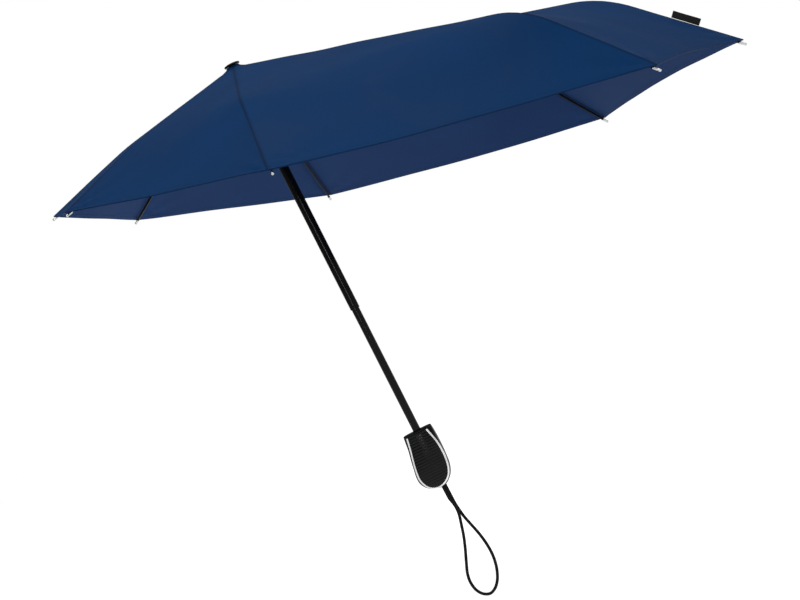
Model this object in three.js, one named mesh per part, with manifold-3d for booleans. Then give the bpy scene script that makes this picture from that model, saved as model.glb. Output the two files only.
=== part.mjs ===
// Folding storm umbrella with a long rear side: eight ribs, a two-section telescoping shaft,
// a sliding runner that folds every rib, a moulded handle and a wrist strap.
// Millimetres. X points to the long rear side, Z up the shaft, origin on the shaft axis at mid handle.
import * as THREE from 'three';
import { mergeVertices } from 'three/addons/utils/BufferGeometryUtils.js';
import Module from 'manifold-3d';

const wasm = await Module();
wasm.setup();

// ---------- driving dimensions ----------
const GAP = 0.3;
const CROWN_Z = 570;

const HANDLE_TOP = 40;
const HANDLE_BOTTOM = -40;
const COLLAR_T = 2.4;
const PAD_DEPTH = 2.2;
// Each row: height, front half width, rear half width, half depth.
const HANDLE_ROWS = [
  [40, 20.3, 19.9, 14.6], [30, 21.2, 20.6, 15.4], [20, 22.4, 21.0, 16.2], [8, 24.9, 21.0, 17.0],
  [-4, 27.0, 20.4, 17.4], [-14, 28.6, 19.6, 17.2], [-22, 28.4, 17.6, 16.2], [-28, 26.0, 14.8, 14.6],
  [-33, 22.0, 10.8, 12.2], [-37, 16.0, 6.0, 9.0], [-39.2, 10.0, 1.6, 5.2], [-40, 6.6, -1.6, 2.2],
];
// The grip pad's outline on the handle's side face, from its top rear corner round to its top front one.
const PAD_OUTLINE = [
  [11.0, 37.4], [15.4, 20], [16.8, 8], [16.6, -6], [14.6, -18], [10.6, -27], [3.4, -33.6], [-6, -36.6],
  [-14.6, -34.4], [-20.6, -28], [-23.8, -18], [-23.0, -6], [-20.4, 8], [-17.6, 20], [-14.4, 37.4],
];
const INLAY_W = 2.4;

const LOWER_R = 5.2;
const UPPER_R = 6.25;
const TUBE_WALL = 0.75;
const LOWER_FROM = -4;
const LOWER_TO = 241;
const UPPER_FROM = 216;
const UPPER_TO = CROWN_Z - 8;

const CAP_R = 10.6;
const CAP_T = 3;

const NOTCH_Z = CROWN_Z - 15.2;
const NOTCH_HINGE_R = 12.5;
const NOTCH_R = 14.2;
const RUNNER_DROP = 70;
const RUNNER_TRAVEL = 180;
const RUNNER_WIRE_R = 9.6;
const WIRE_R = 0.5;

const ARM_W = 2.4;
const ARM_H = 2.6;
const SIDE = ARM_W + GAP;
// A bar end of this radius is as high as the bar itself.
const FLUSH = ARM_H / 2;
const KNUCKLE_R = 1.9;
const PIN_R = 0.8;
const PIN_HOLE_R = 1.1;
const RUNNER_KNUCKLE_R = 1.7;
const FOLD_LUG = 4;
const BEND_LUG = 3.4;
const LUG_R = 1.7;
const ARM_BELOW_CLOTH = 8;
const TIP_BELOW_CLOTH = 3.6;
const TIP_BACK = 3;

// Where the runner's wire crosses the stretchers' side plane.
const RUNNER_HINGE_R = Math.sqrt(RUNNER_WIRE_R ** 2 - SIDE ** 2);

const CLOTH_T = 0.8;
const NECK_R = 8.2;

// One row for each rib. The line points are [radius, drop below the crown] on the cloth, and every rib has a
// neck, a shoulder, a first fold, a bend and a corner, so neighbouring ribs can be joined point by point.
const RIBS = [
  { name: 'rear', az: 0, slope: 0.296, fold: 286, bend: 462, corner: [598, 272], parts: 3 },
  { name: 'rear_far', az: 41.7, slope: 0.296, fold: 284, bend: 456, corner: [582, 268], parts: 3 },
  { name: 'side_far', az: 88.1, slope: 0.296, fold: 140, bend: 245, corner: [427, 182], parts: 2 },
  { name: 'front_far', az: 136.1, slope: 0.25, fold: 110, bend: 200, corner: [329, 100], parts: 2 },
  { name: 'front', az: 180, slope: 0.17, fold: 90, bend: 170, corner: [296, 70], parts: 2 },
  { name: 'front_near', az: 223.9, slope: 0.25, fold: 110, bend: 200, corner: [329, 100], parts: 2 },
  { name: 'side_near', az: 271.9, slope: 0.296, fold: 140, bend: 245, corner: [427, 182], parts: 2 },
  { name: 'rear_near', az: 318.3, slope: 0.296, fold: 284, bend: 456, corner: [582, 268], parts: 3 },
];
// How far the hem curves in between two ribs, as a share of the last panel row, from each rib to the next.
const HEM_CURVE = [0.1, 0.035, 0.055, 0.03, 0.03, 0.055, 0.035, 0.1];
const CLOTH_SAG = 0.012;

// ---------- materials ----------
const paint = (color, roughness, metalness = 0) => new THREE.MeshStandardMaterial({ color, roughness, metalness });
const CLOTH = paint('#14365f', 0.75);
const BLACK_STEEL = paint('#101113', 0.35, 0.6);
const BLACK_PLASTIC = paint('#141416', 0.3);
const RUBBER = paint('#1b1b1c', 0.85);
const WHITE = paint('#e9e9e6', 0.4);
const BRIGHT = paint('#c8cacb', 0.22, 0.9);
const WEBBING = paint('#0f0f10', 0.9);

const umbrella = new THREE.Group();

// ---------- helpers ----------
function solid(geometry) {
  const bare = geometry.clone();
  bare.deleteAttribute('normal');
  bare.deleteAttribute('uv');
  const merged = mergeVertices(bare, 1e-4);
  const mesh = new wasm.Mesh({
    numProp: 3,
    vertProperties: new Float32Array(merged.attributes.position.array),
    triVerts: new Uint32Array(merged.index.array),
  });
  mesh.merge();
  return new wasm.Manifold(mesh);
}

function toGeometry(manifold) {
  const mesh = manifold.getMesh();
  const geometry = new THREE.BufferGeometry();
  geometry.setAttribute('position', new THREE.BufferAttribute(new Float32Array(mesh.vertProperties), 3));
  geometry.setIndex(new THREE.BufferAttribute(new Uint32Array(mesh.triVerts), 1));
  geometry.computeVertexNormals();
  return geometry;
}

const joined = (...parts) => toGeometry(parts.map(solid).reduce((a, b) => a.add(b)));
const cut = (body, ...tools) => toGeometry(tools.map(solid).reduce((a, b) => a.subtract(b), solid(body)));
const common = (a, b) => toGeometry(solid(a).intersect(solid(b)));

function add(name, geometry, material, parent = umbrella) {
  const mesh = new THREE.Mesh(geometry, material.clone());
  mesh.name = name;
  parent.add(mesh);
  return mesh;
}

// A turned solid about Z from [radius, height] points.
function turned(points, segments = 32) {
  const profile = points.map(([r, z]) => new THREE.Vector2(r, z));
  return new THREE.LatheGeometry(profile, segments).rotateX(Math.PI / 2);
}

function ring(inner, outer, from, to, segments = 32) {
  return turned([[inner, from], [outer, from], [outer, to], [inner, to], [inner, from]], segments);
}

// A bar across Y, for pins and pin holes.
function crossPin(radius, x, z, from, to) {
  const pin = new THREE.CylinderGeometry(radius, radius, to - from, 12);
  return pin.translate(x, (from + to) / 2, z);
}

function box(x0, x1, y0, y1, z0, z1) {
  const made = new THREE.BoxGeometry(x1 - x0, y1 - y0, z1 - z0);
  return made.translate((x0 + x1) / 2, (y0 + y1) / 2, (z0 + z1) / 2);
}

// An outline in the XZ plane, made solid across Y.
function plate(points, from, to) {
  const shape = new THREE.Shape(points.map(([x, z]) => new THREE.Vector2(x, z)));
  const made = new THREE.ExtrudeGeometry(shape, { depth: to - from, bevelEnabled: false });
  return made.rotateX(Math.PI / 2).translate(0, to, 0);
}

// A bar of half height h from x0 to x1 with round ends of radius r0 and r1.
function barOutline(length, r0, r1, h) {
  const points = [];
  const end = (x, r, first) => {
    const reach = Math.asin(Math.min(1, h / r));
    for (let i = 0; i <= 6; i += 1) {
      const a = first + reach + ((2 * Math.PI - 2 * reach) * i) / 6;
      points.push([x + r * Math.cos(a), r * Math.sin(a)]);
    }
  };
  if (r1 > 0) end(length, r1, Math.PI);
  else points.push([length, -h], [length, h]);
  if (r0 > 0) end(0, r0, 0);
  else points.push([0, h], [0, -h]);
  return points;
}

// Skins a stack of closed rings, each a list of [x, y, z] of the same length, into one closed solid.
function loft(rings) {
  const n = rings[0].length;
  const verts = rings.flat(2);
  const index = [];
  for (let r = 0; r < rings.length - 1; r += 1) {
    for (let i = 0; i < n; i += 1) {
      const j = (i + 1) % n;
      const [a, b, c, d] = [r * n + i, r * n + j, (r + 1) * n + j, (r + 1) * n + i];
      index.push(a, b, c, a, c, d);
    }
  }
  const middle = (ringPoints) => [0, 1, 2].map((k) => ringPoints.reduce((s, p) => s + p[k], 0) / n);
  const low = verts.length / 3;
  verts.push(...middle(rings[0]), ...middle(rings[rings.length - 1]));
  const last = (rings.length - 1) * n;
  for (let i = 0; i < n; i += 1) {
    const j = (i + 1) % n;
    index.push(low, j, i, low + 1, last + i, last + j);
  }
  const geometry = new THREE.BufferGeometry();
  geometry.setAttribute('position', new THREE.BufferAttribute(new Float32Array(verts), 3));
  geometry.setIndex(index);
  return geometry;
}

// A sheet of the given thickness over a grid of Vector3 points.
function sheet(grid, thickness) {
  const rows = grid.length;
  const cols = grid[0].length;
  const at = (i, j) => grid[Math.max(0, Math.min(rows - 1, i))][Math.max(0, Math.min(cols - 1, j))];
  const verts = [];
  for (const side of [0.5, -0.5]) {
    for (let i = 0; i < rows; i += 1) {
      for (let j = 0; j < cols; j += 1) {
        const along = at(i + 1, j).clone().sub(at(i - 1, j));
        const across = at(i, j + 1).clone().sub(at(i, j - 1));
        const n = along.cross(across).normalize();
        verts.push(...at(i, j).clone().addScaledVector(n, side * thickness).toArray());
      }
    }
  }
  const v = (layer, i, j) => layer * rows * cols + i * cols + j;
  const index = [];
  const quad = (a, b, c, d) => index.push(a, b, c, a, c, d);
  // Each face is split along its shorter diagonal, so that mirrored panels bend the same way.
  for (let i = 0; i < rows - 1; i += 1) {
    for (let j = 0; j < cols - 1; j += 1) {
      const straight = at(i, j).distanceTo(at(i + 1, j + 1)) <= at(i + 1, j).distanceTo(at(i, j + 1)) + 1e-6;
      const corners = [[i, j], [i + 1, j], [i + 1, j + 1], [i, j + 1]];
      const [a, b, c, d] = straight ? corners : [...corners.slice(1), corners[0]];
      quad(v(0, ...a), v(0, ...b), v(0, ...c), v(0, ...d));
      quad(v(1, ...a), v(1, ...d), v(1, ...c), v(1, ...b));
    }
  }
  for (let i = 0; i < rows - 1; i += 1) {
    quad(v(0, i, 0), v(1, i, 0), v(1, i + 1, 0), v(0, i + 1, 0));
    quad(v(0, i + 1, cols - 1), v(1, i + 1, cols - 1), v(1, i, cols - 1), v(0, i, cols - 1));
  }
  for (let j = 0; j < cols - 1; j += 1) {
    quad(v(0, 0, j + 1), v(1, 0, j + 1), v(1, 0, j), v(0, 0, j));
    quad(v(0, rows - 1, j), v(1, rows - 1, j), v(1, rows - 1, j + 1), v(0, rows - 1, j + 1));
  }
  const geometry = new THREE.BufferGeometry();
  geometry.setAttribute('position', new THREE.BufferAttribute(new Float32Array(verts), 3));
  geometry.setIndex(index);
  return geometry;
}

// ---------- handle ----------
// One ring of the handle at a row, shrunk inwards by inset.
function handleRing([z, front, rear, depth], inset = 0, n = 40) {
  const points = [];
  const centre = (rear - front) / 2;
  const half = (rear + front) / 2 - inset;
  for (let i = 0; i < n; i += 1) {
    const a = (2 * Math.PI * i) / n;
    const c = Math.cos(a);
    const s = Math.sin(a);
    const round = 0.78;
    points.push([
      centre + half * Math.sign(c) * Math.abs(c) ** round,
      (depth - inset) * Math.sign(s) * Math.abs(s) ** round,
      z,
    ]);
  }
  return points;
}

function handleLoft(inset, top, bottomInset = 0) {
  const rows = HANDLE_ROWS.map((row) => [...row]);
  rows[0][0] = top;
  const rings = rows.map((row) => handleRing(row, inset));
  if (bottomInset) {
    for (const r of rings) for (const p of r) p[2] += p[2] < -20 ? bottomInset * ((-20 - p[2]) / 20) : 0;
  }
  return loft(rings.reverse());
}

// Grows or shrinks an outline in the XZ plane towards its middle.
function scaledOutline(points, by) {
  const cx = points.reduce((s, p) => s + p[0], 0) / points.length;
  const cz = points.reduce((s, p) => s + p[1], 0) / points.length;
  return points.map(([x, z]) => {
    const d = Math.hypot(x - cx, z - cz);
    return [x + ((x - cx) / d) * by, z + ((z - cz) / d) * by];
  });
}

const shellTop = HANDLE_TOP - COLLAR_T - GAP;
const outer = handleLoft(0, shellTop);
const pocketFloor = handleLoft(PAD_DEPTH, shellTop + 0.5, PAD_DEPTH);
const padFloor = handleLoft(PAD_DEPTH - GAP, shellTop + 0.5, PAD_DEPTH - GAP);
const pocketTop = shellTop - 1.2;
const clip = (outline, top) => outline.map(([x, z]) => [x, Math.min(z, top)]);
const sides = [['near', -60, -4], ['far', 4, 60]];

let shell = solid(outer);
for (const [, from, to] of sides) {
  const prism = plate(clip(scaledOutline(PAD_OUTLINE, INLAY_W + GAP), pocketTop), from, to);
  shell = shell.subtract(solid(prism).subtract(solid(pocketFloor)));
}
shell = shell.subtract(solid(ring(0.01, LOWER_R + GAP, LOWER_FROM - 1, 60)).add(
  solid(turned([[0, LOWER_FROM - 1], [LOWER_R + GAP, LOWER_FROM - 1], [LOWER_R + GAP, 60], [0, 60]])),
));
shell = shell.subtract(solid(box(-5.2, 3.2, -2.6, 2.6, HANDLE_BOTTOM - 2, HANDLE_BOTTOM + 20)));
add('handle_shell', toGeometry(shell), BLACK_PLASTIC);

for (const [side, from, to] of sides) {
  const skin = solid(outer).subtract(solid(padFloor));
  const pad = solid(plate(clip(PAD_OUTLINE, pocketTop - GAP - INLAY_W * 0.2), from, to));
  const inlayOuter = clip(scaledOutline(PAD_OUTLINE, INLAY_W), pocketTop - GAP);
  const inlayInner = clip(scaledOutline(PAD_OUTLINE, GAP), pocketTop + 5);
  const opened = inlayInner.map(([x, z], i) => (i === 0 || i === inlayInner.length - 1 ? [x, z + 20] : [x, z]));
  const band = solid(plate(inlayOuter, from, to)).subtract(solid(plate(opened, from - 1, to + 1)));
  add(`grip_pad_${side}`, toGeometry(skin.intersect(pad)), RUBBER);
  add(`grip_inlay_${side}`, toGeometry(skin.intersect(band)), WHITE);
}

const collarRow = HANDLE_ROWS[0];
const collar = loft([
  handleRing([HANDLE_TOP - COLLAR_T, ...collarRow.slice(1)], 0.2),
  handleRing([HANDLE_TOP - 0.8, ...collarRow.slice(1)], 0.2),
  handleRing([HANDLE_TOP, ...collarRow.slice(1)], 1.2),
]);
const collarBore = turned([[0, 30], [LOWER_R + GAP, 30], [LOWER_R + GAP, 50], [0, 50]]);
add('handle_collar', cut(collar, collarBore), BLACK_PLASTIC);

// ---------- wrist strap: a round cord, both ends in the hole under the handle ----------
const STRAP_D = 3.4;
const STRAP_ROUTE = [
  [-2.8, 0, -34], [-2.8, 0, -42], [-2.7, -0.2, -50], [-2.3, -1.2, -58], [-0.4, -2.2, -66], [0.2, -2.2, -74],
  [-0.6, -2.2, -82], [-3.4, -1.8, -93], [-7.8, -1.0, -109], [-13.6, -0.4, -125], [-20.2, 0, -141],
  [-25.8, 0, -156], [-27.2, 0, -168], [-24.6, 0, -180], [-18.4, 0, -188], [-10.6, 0, -191],
  [-2.6, 0, -188], [4.6, 0, -180.4], [9.8, 0, -170], [13.2, 0, -158], [14.6, 0, -145], [13.8, 0.2, -130],
  [11.0, 0.4, -114], [7.0, 1.0, -99], [3.8, 1.8, -87], [2.4, 2.2, -78], [1.4, 2.2, -70], [1.0, 1.6, -62],
  [1.0, 0.6, -53], [0.9, 0, -44], [0.9, 0, -34],
];
const strapCurve = new THREE.CatmullRomCurve3(STRAP_ROUTE.map((p) => new THREE.Vector3(...p)), false, 'centripetal');
const strapRound = new THREE.Shape();
for (let i = 0; i < 8; i += 1) {
  const a = (2 * Math.PI * i) / 8;
  const [x, y] = [(STRAP_D / 2) * Math.cos(a), (STRAP_D / 2) * Math.sin(a)];
  if (i === 0) strapRound.moveTo(x, y);
  else strapRound.lineTo(x, y);
}
strapRound.closePath();
add('wrist_strap', new THREE.ExtrudeGeometry(strapRound, { steps: 60, extrudePath: strapCurve }), WEBBING);

// ---------- shaft ----------
add('lower_tube', ring(LOWER_R - TUBE_WALL, LOWER_R, LOWER_FROM, LOWER_TO), BLACK_STEEL);

const CATCH_AZ = THREE.MathUtils.degToRad(65);
const CATCH_Z = NOTCH_Z - RUNNER_DROP - 34;
const CATCH_L = 9;
const CATCH_W = 2.8;
const catchHole = box(0, 9, -CATCH_W / 2 - GAP, CATCH_W / 2 + GAP, CATCH_Z - CATCH_L / 2 - GAP, CATCH_Z + CATCH_L / 2 + GAP);
const upperTube = ring(UPPER_R - TUBE_WALL, UPPER_R, UPPER_FROM, UPPER_TO);
add('upper_tube', cut(upperTube, catchHole.rotateZ(CATCH_AZ)), BLACK_STEEL);

const catchShape = plate([
  [3.4, CATCH_Z - CATCH_L / 2], [6.0, CATCH_Z - CATCH_L / 2], [7.8, CATCH_Z + CATCH_L / 2 - 2.2],
  [7.8, CATCH_Z + CATCH_L / 2], [3.4, CATCH_Z + CATCH_L / 2],
], -CATCH_W / 2, CATCH_W / 2);
add('runner_catch', catchShape.rotateZ(CATCH_AZ), BRIGHT);

// ---------- crown ----------
const cap = turned([
  [0, CROWN_Z - 22], [4.6, CROWN_Z - 22], [5.2, CROWN_Z - 21], [5.2, CROWN_Z - CAP_T],
  [CAP_R - 0.6, CROWN_Z - CAP_T], [CAP_R, CROWN_Z - CAP_T + 0.6], [CAP_R, CROWN_Z - 1.4],
  [CAP_R - 0.8, CROWN_Z - 0.6], [CAP_R - 2.8, CROWN_Z], [0, CROWN_Z],
], 40);
add('crown_cap', cap, BLACK_PLASTIC);

// A hub with a slot for each rib at lateral offset, a groove for the hinge wire and room for the rib ends.
function hub({ body, slotFrom, slotR, side, z, low, high, wireR }) {
  let made = solid(body);
  for (const rib of RIBS) {
    const a = THREE.MathUtils.degToRad(rib.az);
    const slot = box(slotFrom, slotR, side - ARM_W / 2 - GAP, side + ARM_W / 2 + GAP, low, high);
    made = made.subtract(solid(slot.rotateZ(a)));
  }
  const groove = new THREE.TorusGeometry(wireR, WIRE_R + GAP, 8, 48).translate(0, 0, z);
  return toGeometry(made.subtract(solid(groove)));
}

const notchBody = turned([
  [UPPER_R + GAP, NOTCH_Z - 4.4], [NOTCH_R - 1, NOTCH_Z - 4.4], [NOTCH_R, NOTCH_Z - 3.4], [NOTCH_R, NOTCH_Z + 2.2],
  [NOTCH_R - 1.4, NOTCH_Z + 3.4], [UPPER_R + GAP, NOTCH_Z + 3.8], [UPPER_R + GAP, NOTCH_Z - 4.4],
], 48);
add('top_notch', hub({
  body: notchBody, slotFrom: NOTCH_HINGE_R - KNUCKLE_R - 0.5, slotR: 20, side: 0,
  z: NOTCH_Z, low: NOTCH_Z - 10, high: NOTCH_Z + 10, wireR: NOTCH_HINGE_R,
}), BLACK_PLASTIC);
add('notch_wire', new THREE.TorusGeometry(NOTCH_HINGE_R, WIRE_R, 8, 48).translate(0, 0, NOTCH_Z), BRIGHT);

const RUNNER_Z = NOTCH_Z - RUNNER_DROP;
const runnerBody = turned([
  [UPPER_R + GAP, RUNNER_Z - 27], [8.6, RUNNER_Z - 27], [9.2, RUNNER_Z - 26], [9.2, RUNNER_Z - 6],
  [10.9, RUNNER_Z - 4], [10.9, RUNNER_Z + 2.6], [10.0, RUNNER_Z + 3.4], [UPPER_R + GAP, RUNNER_Z + 3.4],
  [UPPER_R + GAP, RUNNER_Z - 27],
], 48);
const keyway = box(0, 8.2, -CATCH_W / 2 - GAP, CATCH_W / 2 + GAP, RUNNER_Z - 40, RUNNER_Z + 20).rotateZ(CATCH_AZ);
const slotted = hub({
  body: runnerBody, slotFrom: RUNNER_HINGE_R - RUNNER_KNUCKLE_R - 0.4, slotR: 20, side: -SIDE,
  z: RUNNER_Z, low: RUNNER_Z - 3.2, high: RUNNER_Z + 20, wireR: RUNNER_WIRE_R,
});
add('runner', cut(slotted, keyway), BLACK_PLASTIC);
add('runner_wire', new THREE.TorusGeometry(RUNNER_WIRE_R, WIRE_R, 8, 48).translate(0, 0, RUNNER_Z), BRIGHT);

// ---------- ribs ----------
// The points on a rib's cloth line, as [radius, height].
function clothLine(rib) {
  const drop = (r) => 5 + rib.slope * r;
  return [
    [NECK_R, CROWN_Z - 4.2], [NOTCH_HINGE_R, CROWN_Z - drop(NOTCH_HINGE_R) - 0.3], [rib.fold, CROWN_Z - drop(rib.fold)],
    [rib.bend, CROWN_Z - drop(rib.bend)], [rib.corner[0], CROWN_Z - rib.corner[1]],
  ];
}

// Places a solid made along +X from the start point to the end point in the rib's plane.
function lay(name, geometry, material, parent, [x0, z0], [x1, z1]) {
  const mesh = add(name, geometry, material, parent);
  mesh.position.set(x0, 0, z0);
  mesh.rotation.y = -Math.atan2(z1 - z0, x1 - x0);
  return mesh;
}

const length = ([x0, z0], [x1, z1]) => Math.hypot(x1 - x0, z1 - z0);

// A point in the rib's plane moved square to a direction, upwards if the distance is positive.
const offset = ([x, z], angle, by) => [x - by * Math.sin(angle), z + by * Math.cos(angle)];

// An arm from its first pivot along +X. Knuckles are round ends about the pivots.
function arm({ long, side, hole, pins = [], lugs = [], r0 = KNUCKLE_R, r1 = KNUCKLE_R, tail }) {
  const [from, to] = [side - ARM_W / 2, side + ARM_W / 2];
  let made = solid(plate(barOutline(long, r0, r1, ARM_H / 2), from, to));
  for (const [x, z] of lugs) {
    const around = [];
    for (let i = 0; i < 12; i += 1) {
      const a = (2 * Math.PI * i) / 12;
      around.push([x + LUG_R * Math.cos(a), z + LUG_R * Math.sin(a)]);
    }
    made = made.add(solid(plate(around, from, to)));
    made = made.add(solid(box(x - LUG_R, x + LUG_R, from, to, Math.min(z, 0), Math.max(z, 0))));
  }
  for (const [x, z, y0, y1] of pins) made = made.add(solid(crossPin(PIN_R, x, z, y0, y1)));
  if (tail) made = made.add(solid(box(long - 1, long + tail, side - 0.7, side + 0.7, -0.7, 0.7)));
  for (const [x, z] of hole ?? []) made = made.subtract(solid(crossPin(PIN_HOLE_R, x, z, from - 1, to + 1)));
  return toGeometry(made);
}

const TIP_SOCKET = 5;
const tipShape = turned([
  [0, TIP_SOCKET + 0.2], [1.3, TIP_SOCKET + 0.2], [1.3, 0], [1.9, 0.2], [1.7, TIP_SOCKET + 0.4],
  [1.35, TIP_SOCKET + 2], [1.75, TIP_SOCKET + 3], [1.75, TIP_SOCKET + 4.2], [1.2, TIP_SOCKET + 5],
  [0, TIP_SOCKET + 5.4],
], 12).rotateY(Math.PI / 2);

const runnerPivot = [RUNNER_HINGE_R, RUNNER_Z];
const notchPivot = [NOTCH_HINGE_R, NOTCH_Z];
const drive = RUNNER_DROP + RUNNER_TRAVEL;

for (const rib of RIBS) {
  const plane = new THREE.Group();
  plane.rotation.z = THREE.MathUtils.degToRad(rib.az);
  umbrella.add(plane);
  const [, , fold, bend, corner] = clothLine(rib);
  const bendPivot = [bend[0], bend[1] - ARM_BELOW_CLOTH];
  const angle = Math.atan2(bendPivot[1] - notchPivot[1], bendPivot[0] - notchPivot[0]);
  const endPoint = [corner[0] - TIP_BACK, corner[1] - TIP_BELOW_CLOTH];
  const pinAcross = [-ARM_W / 2 - 0.1, SIDE + ARM_W / 2 + 0.5];

  // The inner arm, hinged on the notch wire. Its outer end carries the fold pivot, on the side towards the cloth.
  const armEnd = rib.parts === 3 ? fold[0] : bend[0];
  const innerLong = (armEnd - NOTCH_HINGE_R) / Math.cos(angle);
  const innerEnd = [armEnd, notchPivot[1] + innerLong * Math.sin(angle)];
  const inner = arm({
    long: innerLong, side: 0, lugs: [[innerLong, FOLD_LUG]], hole: [[0, 0], [innerLong, FOLD_LUG]], r1: FLUSH,
  });
  lay(`arm_inner_${rib.name}`, inner, BLACK_STEEL, plane, notchPivot, innerEnd);

  // The middle arm, only on the long ribs. Its outer end carries the bend pivot, on the side away from the cloth.
  let pivot = offset(innerEnd, angle, FOLD_LUG);
  let lug = FOLD_LUG;
  let outerSide = SIDE;
  if (rib.parts === 3) {
    const long = length(innerEnd, bendPivot);
    const middle = arm({
      long, side: SIDE, r0: FLUSH, r1: FLUSH, lugs: [[0, FOLD_LUG], [long, -BEND_LUG]],
      pins: [[0, FOLD_LUG, ...pinAcross], [long, -BEND_LUG, ...pinAcross]],
    });
    lay(`arm_middle_${rib.name}`, middle, BLACK_STEEL, plane, innerEnd, bendPivot);
    pivot = offset(bendPivot, angle, -BEND_LUG);
    lug = -BEND_LUG;
    outerSide = 0;
  }

  // The outer arm. Its own line passes beside its pivot and ends in the tip's socket.
  const span = length(pivot, endPoint);
  const towards = Math.atan2(endPoint[1] - pivot[1], endPoint[0] - pivot[0]);
  const outerAngle = towards + Math.asin(lug / span);
  const outerLong = Math.sqrt(span ** 2 - lug ** 2) - TIP_SOCKET;
  const lineStart = offset(pivot, outerAngle, -lug);
  const outerArm = arm({
    long: outerLong, side: outerSide, r0: FLUSH, r1: 0, tail: TIP_SOCKET - 0.3, lugs: [[0, lug]],
    ...(rib.parts === 3 ? { hole: [[0, lug]] } : { pins: [[0, lug, ...pinAcross]] }),
  });
  lay(`arm_outer_${rib.name}`, outerArm, BLACK_STEEL, plane, lineStart, endPoint);
  const tip = new THREE.Group();
  tip.position.set(lineStart[0], 0, lineStart[1]);
  tip.rotation.y = -outerAngle;
  plane.add(tip);
  const cup = add(`tip_${rib.name}`, tipShape.clone(), BRIGHT, tip);
  cup.position.set(outerLong + 0.3, outerSide, 0);

  // The stretcher, hinged on the runner wire. Its outer end lies beside the inner arm, unpinned.
  const c = Math.cos(angle);
  const s = -Math.sin(angle);
  const back = NOTCH_HINGE_R - RUNNER_HINGE_R;
  const reach = (drive ** 2 - RUNNER_DROP ** 2) / (2 * back * c + 2 * drive - 2 * RUNNER_DROP * s);
  const joint = [notchPivot[0] + reach * c, notchPivot[1] - reach * s];
  const stretcher = arm({ long: length(runnerPivot, joint), side: -SIDE, hole: [[0, 0]], r0: RUNNER_KNUCKLE_R });
  lay(`stretcher_${rib.name}`, stretcher, BLACK_STEEL, plane, runnerPivot, joint);
}

// ---------- canopy ----------
function ribPoint(rib, knot) {
  const [r, z] = clothLine(rib)[knot];
  const a = THREE.MathUtils.degToRad(rib.az);
  return new THREE.Vector3(r * Math.cos(a), r * Math.sin(a), z);
}

// A point on the cloth a share v of the way from one rib to the next, at a knot or between two of them.
function clothPoint(i, v, row) {
  const [from, to] = [RIBS[i], RIBS[(i + 1) % RIBS.length]];
  const knots = clothLine(from).length - 1;
  const bow = 4 * v * (1 - v);
  const hem = row > knots - 1 ? (row - (knots - 1)) * HEM_CURVE[i] * bow : 0;
  const at = Math.min(row - hem, knots - 1e-9);
  const k = Math.floor(at);
  const mix = (rib) => ribPoint(rib, k).lerp(ribPoint(rib, k + 1), at - k);
  const [a, b] = [mix(from), mix(to)];
  const point = a.clone().lerp(b, v);
  point.z -= CLOTH_SAG * bow * a.distanceTo(b) * Math.min(1, row / 2);
  return point;
}

const ROWS = [0, 1, 1.5, 2, 2.5, 3, 3.5, 4];
RIBS.forEach((rib, i) => {
  const before = (i + RIBS.length - 1) % RIBS.length;
  const grid = ROWS.map((row) => {
    const left = [0.5, 0.75].map((v) => clothPoint(before, v, row));
    const right = [0.25, 0.5].map((v) => clothPoint(i, v, row));
    const line = [...left, clothPoint(i, 0, row), ...right];
    const trim = (edge, next) => edge.add(next.clone().sub(edge).setLength(GAP / 2 + 0.02));
    trim(line[0], line[1]);
    trim(line[4], line[3]);
    return line;
  });
  add(`gore_${rib.name}`, sheet(grid, CLOTH_T), CLOTH);
});

// The plain sewn label that stands on the rear seam.
const LABEL_L = 37;
const LABEL_H = 9.5;
const rearRib = clothLine(RIBS[0]);
const seamAngle = Math.atan2(rearRib[4][1] - rearRib[3][1], rearRib[4][0] - rearRib[3][0]);
const label = box(0, LABEL_L, -0.4, 0.4, CLOTH_T / 2 + GAP, CLOTH_T / 2 + GAP + LABEL_H);
const sewn = add('canopy_label', label, WEBBING);
const start = 92;
sewn.position.set(rearRib[3][0] + start * Math.cos(seamAngle), 0, rearRib[3][1] + start * Math.sin(seamAngle));
sewn.rotation.y = -seamAngle;

export default umbrella;
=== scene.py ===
"""Folding storm umbrella: camera, stage, materials and the soft and moulded pieces around the CAD frame.

Metres, in the part's own frame: X to the long rear side, Z up the shaft, origin at mid handle.
"""
import math

import bmesh
import bpy
import numpy as np
from mathutils import Matrix, Vector


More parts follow.
